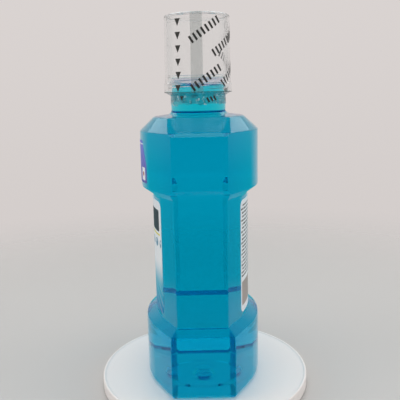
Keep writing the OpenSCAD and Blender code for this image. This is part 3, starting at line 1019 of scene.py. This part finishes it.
class BOTTLE_OT_mouthwash(bpy.types.Operator):
    """The mouthwash, which fills the bottle up into its neck."""
    bl_idname = "bottle.mouthwash"
    bl_label = "Mouthwash"

    def execute(self, context):
        scene = context.scene
        s, neck, looks = scene.bottle_sizes, scene.neck_sizes, scene.looks
        gap = 0.05 * MM
        skin = softened(*body_rings(s, s.wall + gap))
        n = len(skin[0])
        high = LIQUID_BOX[1].z
        surface = [*turned(LIQUID_TOP, n, neck.bore - gap, high), circle(6 * MM, high - 1.05 * MM, n)]
        rings = [*turned(LIQUID_BASE, n), *skin, *inner_neck(neck, gap, n), *surface]
        teal = clear_material(
            "teal_mouthwash", looks.liquid_tint, looks.ior, wet=against_wall, shade=looks.liquid_shade,
            volume=(looks.liquid_depth, looks.liquid_strength))
        make_piece("mouthwash_fill", loft(rings), teal, "container", "mouthwash", sharp=75)
        return {"FINISHED"}


class BOTTLE_OT_cap(bpy.types.Operator):
    """Clear measuring cap with two walls, its thread, fill rings and the liner."""
    bl_idname = "bottle.cap"
    bl_label = "Measuring cap"

    def execute(self, context):
        cap, neck, looks = context.scene.cap_sizes, context.scene.neck_sizes, context.scene.looks
        n = 192
        low, high = CAP_BOX[0].z, CAP_BOX[1].z
        ceiling = high - cap.deck
        ledge = LINER_BOX[1].z + 0.05 * MM
        slope = high - 1.1 * MM
        side = [(cap.top + (cap.skirt - cap.top) * s, 0, slope + (cap.rim_top - slope) * s, 0)
                for s in np.linspace(0, 1, 9)]
        outside = round_rings(
            n, (0, 6, high, 0), (cap.top, -2.2, high, 0), (cap.top, -0.9, high, -0.06),
            (cap.top, -0.25, high, -0.4), *side, (cap.rim, -0.15, cap.rim_top, -0.35),
            (cap.rim, 0, cap.rim_top, -0.7), (cap.rim, 0, low, 0.35), (cap.rim, -0.12, low, 0.08),
            (cap.rim, -0.35, low, 0))
        bore, mid = cap.top - cap.wall, cap.inner + cap.inner_wall
        between = round_rings(
            n, (bore, 0.3, low, 0), (bore, 0, low, 0.3), (bore, 0, low, 20), (bore, 0, ceiling, -0.2),
            (bore, -0.15, ceiling, 0), (mid, 0.15, ceiling, 0), (mid, 0, ceiling, -0.2), (mid, 0, low, 20),
            (mid, 0, low, 0.3), (mid, -0.15, low, 0.05), (cap.inner, 0.2, low, 0.05))
        start = thread_start(neck) - neck.lead / 2
        first = (low + 1.4 * MM - start) / neck.lead
        threads = threaded(
            n, low + 0.25 * MM, ledge - 0.3 * MM, cap.inner, neck.finish + 0.35 * MM,
            start=start, first=first, turns=cap.turns, lead=neck.lead,
            root=1.1 * MM, crest=0.5 * MM)
        fill_rings = [(cap.inner, out, high, up - line) for line in (19, 14.4, 4.6)
                      for out, up in ((0, -0.35), (-0.18, -0.15), (-0.18, 0.15), (0, 0.35))]
        cup = round_rings(
            n, (cap.inner, 0, ledge, -0.15), (cap.inner, -0.2, ledge, 0), (cap.ledge, 0.2, ledge, 0),
            (cap.ledge, 0, ledge, 0.2), (cap.ledge, 0, ledge, 0.7), (cap.ledge, 0.2, ledge, 0.9),
            (cap.inner, -0.3, ledge, 0.9), (cap.inner, 0, ledge, 1.2), *fill_rings,
            (cap.inner, 0, ceiling, -1.2), (cap.inner, -0.3, ceiling, -0.3), (cap.inner, -1.2, ceiling, 0),
            (0, 6, ceiling, 0))
        clear = clear_material("cap_plastic", looks.cap, looks.cap_ior, CAP_RIPPLE)
        shape = loft([*outside, *between, *threads, *cup])
        make_piece("cap_shell", shape, clear, "cap", "dosing_cap", sharp=60)
        bottom, top, wide = LINER_BOX[0].z, LINER_BOX[1].z, LINER_BOX[1].x
        shape = closed_loop(round_rings(
            96, (wide, 0, bottom, 0.1), (wide, 0, top, -0.1), (wide, -0.1, top, 0), (cap.ledge, 0.1, top, 0),
            (cap.ledge, 0, top, -0.1), (cap.ledge, 0, bottom, 0.1), (cap.ledge, 0.1, bottom, 0),
            (wide, -0.1, bottom, 0)))
        make_piece("liner_ring", shape, seal_material("liner_seal"), "liner", "cap_liner")
        return {"FINISHED"}


def divided(corners, parts=None):
    """The corners of a profile with points between them: so many parts each, or parts of about 1.1 mm."""
    done = []
    for a, b in zip(corners, corners[1:]):
        a, b = np.array(a), np.array(b)
        steps = parts or max(2, int(hypot(b[0] - a[0], b[1] - a[1]) / (1.1 * MM)))
        done += [a + (b - a) * i / steps for i in range(steps)]
    return [*done, corners[-1]]


def film_profile(cap, film):
    """Radius and height down the film, from its curl over the top to the rim's lower edge, and how much it
    wrinkles there."""
    low, high = CAP_BOX[0].z, CAP_BOX[1].z
    g = film.gap
    return divided((
        (cap.top - film.curl, high + g, 1.0), (cap.top - 0.9 * MM, high + g, 1.0),
        (cap.top + g - 0.15 * MM, high - 0.45 * MM + g * 0.7, 0.8), (cap.top + g, high - 1.1 * MM, 0.7),
        (cap.skirt + g, cap.rim_top + 0.1 * MM, 0.4), (cap.rim + g, cap.rim_top - 0.7 * MM, 0.6),
        (cap.rim + g, low + 0.3 * MM, 0.6), (cap.rim - 0.15 * MM + g, low + 0.06 * MM, 0.5)))


def neck_profile(neck):
    """The same down the neck band, which wrinkles more towards its lower edge."""
    low, high = NECK_FILM_BOX[0].z, NECK_FILM_BOX[1].z
    return divided((
        (21.35 * MM, high - 0.05 * MM, 0.6), (19.4 * MM, high - 1.0 * MM, 3.0),
        (neck.radius + 0.06 * MM, neck.finish_start - 0.9 * MM, 4.0),
        (neck.radius + 0.05 * MM, low + 2.2 * MM, 6.0), (neck.radius + 0.04 * MM, low, 9.0)), 6)


def limited(value):
    return min(1.0, max(0.0, value))


def noise_round(angle, radius, x=0.0, y=0.0, z=0.0):
    """Noise on a circle, moved by x, y and z."""
    return noise.noise(Vector((cos(angle) * radius + x, sin(angle) * radius + y, z)))


def wrinkles(angle, z, seed):
    """Small upright folds, from 0 to 1."""
    coarse = noise_round(angle, 7.0, x=seed, z=z * 160.0)
    fine = noise_round(angle, 19.0, y=seed, z=z * 330.0)
    return limited(0.5 + 0.55 * coarse + 0.35 * fine)


def thin_wrap(profile, start, end, n, film, seed):
    """A thin closed sheet round the axis, between two angles or all round."""
    whole = end - start > 2 * pi - 1e-6
    around = [start + (end - start) * i / n for i in range(n if whole else n + 1)]
    points = []
    for side in (1, 0):
        for r, z, amount in profile:
            flat = z > CAP_BOX[1].z - 0.05 * MM
            for a in around:
                out = amount * film.wrinkle * wrinkles(a, z, seed) + side * film.thickness
                radius = r if flat else r + out
                points.append((radius * cos(a), radius * sin(a), z + out if flat else z))
    return points, sheet_faces(len(profile), len(around), whole)


def ragged(point):
    """The neck band's torn-looking lower edge, which hangs a little lower in places."""
    low, high = NECK_FILM_BOX[0].z, NECK_FILM_BOX[1].z - 2 * MM
    x, y, z = point
    a = atan2(y, x)
    drop = 0.8 * MM + 3.4 * MM * limited(0.45 + noise_round(a, 2.1, z=4.0) + 0.3 * noise_round(a, 6.5, z=9.0))
    return (x, y, z - drop * max(0.0, (high - z) / (high - low)))


class BOTTLE_OT_film(bpy.types.Operator):
    """Shrink film on the cap and the neck, the tear strip between its perforations, and the printed marks."""
    bl_idname = "bottle.film"
    bl_label = "Shrink film"

    def execute(self, context):
        scene = context.scene
        cap, film, neck = scene.cap_sizes, scene.film_sizes, scene.neck_sizes
        lip = CAP_BOX[0].z
        wrap = film_material("cap_wrap", haze_and_fold_shade=0.03, folds=FILM_FOLDS, overlap=OVERLAP, lip=lip)
        strip = film_material("strip_wrap", haze_and_fold_shade=0.04, folds=FILM_FOLDS, lip=lip)
        # The neck band: painted shade in its crumpled folds, and painted white glints
        band = film_material("neck_wrap", haze_and_fold_shade=0.65, folds=CRUMPLED_FOLDS, tone=PAINTED_FOLD_SHADE, painted_glints=0.5)
        profile = film_profile(cap, film)
        left, right = film.strip_middle - film.strip_width / 2, film.strip_middle + film.strip_width / 2
        slit = 0.12 * MM / cap.skirt
        shape = thin_wrap(profile, right, left + 2 * pi, 180, film, seed=3.0)
        make_piece("cap_film_sheet", shape, wrap, "cap", "cap_film", weigh=False)
        shape = thin_wrap(profile, left + slit, right - slit, 14, film, seed=3.0)
        make_piece("tear_strip_sheet", shape, strip, "strip", "tear_strip", weigh=False)
        points, faces = thin_wrap(neck_profile(neck), 0.0, 2 * pi, 260, film, seed=11.0)
        shape = [ragged(p) for p in points], faces
        make_piece("neck_film_sheet", shape, band, "container", "neck_film", weigh=False)
        self.marks(cap, film, neck, ink_material("film_ink", scene.looks.ink), strip)
        return {"FINISHED"}

    def marks(self, cap, film, neck, ink, strip):
        high = CAP_BOX[1].z
        lift = film.gap + film.thickness + film.wrinkle * 0.75 + 0.02 * MM
        slope = (cap.top - cap.skirt) / (high - 1.1 * MM - cap.rim_top)
        cone = {"Radius": cap.skirt, "Slope": slope, "Foot": cap.rim_top, "Flare": cap.rim - cap.skirt,
                "Lift": lift}
        arc = film.strip_middle * cap.skirt
        top = high - 3.6 * MM - film.arrow_height / 2
        last = top - film.arrow_pitch * (film.arrows - 1)
        arrows = {**cone, "Count": film.arrows, "Start": (arc, 0, top), "End": (arc, 0, last),
                  "Width": film.arrow_width, "Height": film.arrow_height, "Taper": 1.0}
        make_marks("strip_arrows", [arrows], ink, "strip")
        half = film.strip_width / 2 * cap.skirt
        tabs = [{**cone, "Count": 22, "Start": (x, 0, high - 2.5 * MM), "End": (x, 0, cap.rim_top + 0.8 * MM),
                 "Width": 0.3 * MM, "Height": 0.9 * MM, "Lift": film.gap + film.thickness * 0.5}
                for x in (arc - half, arc + half)]
        make_marks("perforation_tabs", tabs, strip, "strip")
        bars = []
        for angle, height, number in BAR_ROWS:
            x, z = radians(angle) * cap.skirt, height * MM
            run, rise = 2.55 * MM * (number - 1), 1.75 * MM * (number - 1)
            bars.append({**cone, "Count": number, "Start": (x, 0, z), "End": (x + run, 0, z + rise),
                         "Width": film.hatch_width, "Height": film.hatch_height, "Lean": radians(-34)})
        make_marks("film_marks", bars, ink, "cap")
        band = {"Radius": neck.radius + 0.06 * MM, "Foot": cap.rim_top,
                "Lift": film.wrinkle * 7 + film.thickness + 0.02 * MM}
        place = (film.strip_middle * neck.radius, 0, 192.1 * MM)
        x = radians(20) * neck.radius
        small_arrow = {**band, "Count": 1, "Start": place, "End": place,
                       "Width": 3.1 * MM, "Height": 3.2 * MM, "Taper": 1.0}
        low_bars = {**band, "Count": 3, "Start": (x, 0, 191.0 * MM), "End": (x + 4.8 * MM, 0, 192.1 * MM),
                    "Width": 1.3 * MM, "Height": 3.4 * MM, "Lean": radians(-30)}
        make_marks("neck_marks", [small_arrow, low_bars], ink, "container")


class BOTTLE_OT_labels(bpy.types.Operator):
    """Front, back and shoulder labels, bent to the bowed faces."""
    bl_idname = "bottle.labels"
    bl_label = "Labels"

    def execute(self, context):
        scene = context.scene
        labels, looks = scene.label_sizes, scene.looks
        p = plans(scene.bottle_sizes)
        half, c = labels.width / 2, labels.corner
        quarter = np.linspace(0, pi / 2, 9)
        rows = [(labels.bottom + c - c * cos(a), half - c + c * sin(a)) for a in quarter]
        rows += [(z, half) for z in np.linspace(labels.bottom + c, labels.top - c, 20)[1:-1]]
        rows += [(labels.top - c + c * sin(a), half - c + c * cos(a)) for a in quarter]
        front, back = front_label_material(looks, labels), back_label_material(looks, labels)
        self.skin("front_label", p["waist"], -1, rows, front, "front_print")
        self.skin("back_label", p["waist"], 1, rows, back, "back_print")
        low, high = labels.badge_bottom, labels.badge_top
        wide, narrow = labels.badge_width / 2, labels.badge_top_width / 2
        knee = low + (high - low) * 0.45
        rows = [(low, wide - 1 * MM), (low + 0.3 * MM, wide - 0.3 * MM), (low + 1 * MM, wide)]
        rows += [(z, wide) for z in np.linspace(low + 1 * MM, knee, 5)[1:]]
        rows += [(z, wide + (narrow - wide) * (z - knee) / (high - knee))
                 for z in np.linspace(knee, high - 1 * MM, 8)[1:]]
        rows += [(high - 0.3 * MM, narrow - 0.2 * MM), (high, narrow - 1 * MM)]
        self.skin("shoulder_label", p["up"], -1, rows, shoulder_label_material(looks, labels), "violet_print")
        return {"FINISHED"}

    def skin(self, node, plan, side, rows, material, slot):
        """A thin sheet on a bowed face, from rows of height and half width. side is 1 for the back and -1
        for the front."""
        gap = 0.03 * MM
        across = np.linspace(-1, 1, 41)
        points = []
        for offset in (gap + bpy.context.scene.label_sizes.thickness, gap):
            r = plan.bow_radius + offset
            for z, half in rows:
                for x in across * half:
                    points.append((x, side * (plan.half_depth - plan.bow_radius + sqrt(r * r - x * x)), z))
        shape = points, sheet_faces(len(rows), len(across))
        make_piece(node + "_sheet", shape, material, "container", node, weigh=False)


class BOTTLE_OT_stage(bpy.types.Operator):
    """Turntable, floor, soft light, the room and the camera."""
    bl_idname = "bottle.stage"
    bl_label = "Stage"

    def execute(self, context):
        scene = context.scene
        scene.view_settings.view_transform = "Standard"
        scene.cycles.max_bounces = MOST_BOUNCES
        scene.cycles.transmission_bounces = MOST_BOUNCES
        scene.cycles.transparent_max_bounces = MOST_BOUNCES
        scene.cycles.glossy_bounces = 12
        self.room(scene.looks)
        self.turntable(scene.looks)
        self.floor(scene.looks)
        for name, place, aim, size, power, glossy in LAMPS:
            lamp = bpy.data.lights.new(name, "AREA")
            lamp.shape = "RECTANGLE"
            lamp.size, lamp.size_y = size
            lamp.energy = power
            holder = linked(name, lamp)
            holder.location = place
            holder.rotation_euler = (Vector(place) - Vector((0, 0, aim))).to_track_quat("Z", "Y").to_euler()
            holder.visible_transmission = False
            holder.visible_glossy = glossy
        camera = bpy.data.cameras.new("camera")
        camera.sensor_width = SENSOR
        camera.lens = FOCAL_PIXELS * SENSOR / IMAGE_PIXELS
        camera.clip_start, camera.clip_end = 0.01, 20.0
        holder = linked("camera", camera)
        holder.matrix_world = (Matrix.Translation(CAMERA_PLACE) @ Matrix.Rotation(radians(90), 4, "Z")
                               @ Matrix.Rotation(radians(90 - CAMERA_DOWN), 4, "X")
                               @ Matrix.Rotation(CAMERA_ROLL, 4, "Z"))
        scene.camera = holder
        return {"FINISHED"}

    def room(self, looks):
        """Pale walls all round, darker towards the opening behind the camera, and plain behind the bottle."""
        world = bpy.data.worlds.new("room")
        bpy.context.scene.world = world
        world.use_nodes = True
        t = Tree(world.node_tree)
        x, y, z = t.axes(t.read("ShaderNodeTexCoord", "Generated"))
        seen = t.blend(z.ramp(-0.35, 0.25), [c * 0.93 for c in looks.room], looks.room)
        mirrored = t.painted(
            looks.sides,
            (x.ramp(0.91, 0.95), looks.opening),
            ((-z).ramp(0.03, 0.15), looks.below),
            ((-x).ramp(0.6, 0.85).most(z.ramp(0.6, 0.9) * 0.7), seen),
            (z.ramp(0.35, 0.5) * abs(y).ramp(0.36, 0.2), looks.ceiling))
        camera, bent, soft = t.read(
            "ShaderNodeLightPath", "Is Camera Ray", "Is Transmission Ray", "Is Diffuse Ray")
        light = t.blend(camera.most(bent), t.blend(soft, mirrored, looks.walls), seen)
        background = t.node("ShaderNodeBackground", None, {"Color": light, "Strength": 1.0})
        t.node("ShaderNodeOutputWorld", None, {"Surface": background})

    def turntable(self, looks):
        """A round white turntable with a raised rim."""
        t, close = new_material("turntable_white")
        rough = t.noise(300.0, 2.0) * 0.1 + 0.35
        grain = t.bump(t.noise(1500.0, 2.0), 0.2, 0.00002)
        material = close(t.principled(Base_Color=rgba(looks.turntable), Roughness=rough, Normal=grain))
        points, faces = loft(turned(TURNTABLE, 160))
        mesh = bpy.data.meshes.new("turntable")
        mesh.from_pydata([tuple(Vector(p) + TURNTABLE_CENTRE) for p in points], [], faces)
        mesh.flip_normals()
        mesh.shade_smooth()
        mesh.set_sharp_from_angle(angle=radians(50))
        mesh.materials.append(material)
        linked("turntable", mesh)

    def floor(self, looks):
        """A floor that fades into the room."""
        t, close = new_material("floor_white")
        x, y, z = t.axes()
        out = distance(x, y)
        ground = t.principled(Base_Color=rgba(looks.floor), Roughness=0.6)
        ground = t.shader_mix(out.ramp(0.22, 0.62), ground, t.transparent())
        # Seen in gloss, the far floor glows in the colour of looks.below: a painted reflection
        dim = t.node("ShaderNodeEmission", None, {"Color": rgba(looks.below), "Strength": 1.0})
        bent, mirrored = t.read("ShaderNodeLightPath", "Is Transmission Ray", "Is Glossy Ray")
        distant = t.shader_mix(out.ramp(0.16, 0.26), ground, dim)
        material = close(t.shader_mix(bent, t.shader_mix(mirrored, ground, distant), ground))
        points, faces = loft([circle(radius, FLOOR_LEVEL, 96) for radius in (0.05, 0.3, 0.65)])
        outer_tip = len(points) - 1
        mesh = bpy.data.meshes.new("floor")
        mesh.from_pydata(points[:-1], [], [face for face in faces if outer_tip not in face])
        mesh.materials.append(material)
        linked("floor", mesh)


class BOTTLE_PT_panel(bpy.types.Panel):
    """Lists the pieces and their sizes."""
    bl_label = "Mouthwash Bottle"
    bl_idname = "BOTTLE_PT_panel"
    bl_space_type = "VIEW_3D"
    bl_region_type = "UI"
    bl_category = "Bottle"

    def draw(self, context):
        for operator in OPERATORS:
            self.layout.operator(operator.bl_idname)
        for attribute, group in GROUPS.items():
            box = self.layout.box()
            box.label(text=group.__doc__)
            for key in group.__annotations__:
                box.prop(getattr(context.scene, attribute), key)


OPERATORS = (BOTTLE_OT_bottle, BOTTLE_OT_mouthwash, BOTTLE_OT_cap, BOTTLE_OT_film, BOTTLE_OT_labels,
             BOTTLE_OT_stage)
GROUPS = {"bottle_sizes": BottleSizes, "neck_sizes": NeckSizes, "cap_sizes": CapSizes,
          "film_sizes": FilmSizes, "label_sizes": LabelSizes, "looks": Looks}


def register():
    for item in (*GROUPS.values(), *OPERATORS, BOTTLE_PT_panel):
        bpy.utils.register_class(item)
    for attribute, group in GROUPS.items():
        setattr(bpy.types.Scene, attribute, PointerProperty(type=group))


def unregister():
    for attribute in GROUPS:
        delattr(bpy.types.Scene, attribute)
    for item in reversed((*GROUPS.values(), *OPERATORS, BOTTLE_PT_panel)):
        bpy.utils.unregister_class(item)


def main():
    register()
    bpy.ops.bottle.bottle()
    bpy.ops.bottle.mouthwash()
    bpy.ops.bottle.cap()
    bpy.ops.bottle.film()
    bpy.ops.bottle.labels()
    bpy.ops.bottle.stage()


if __name__ == "__main__":
    main()
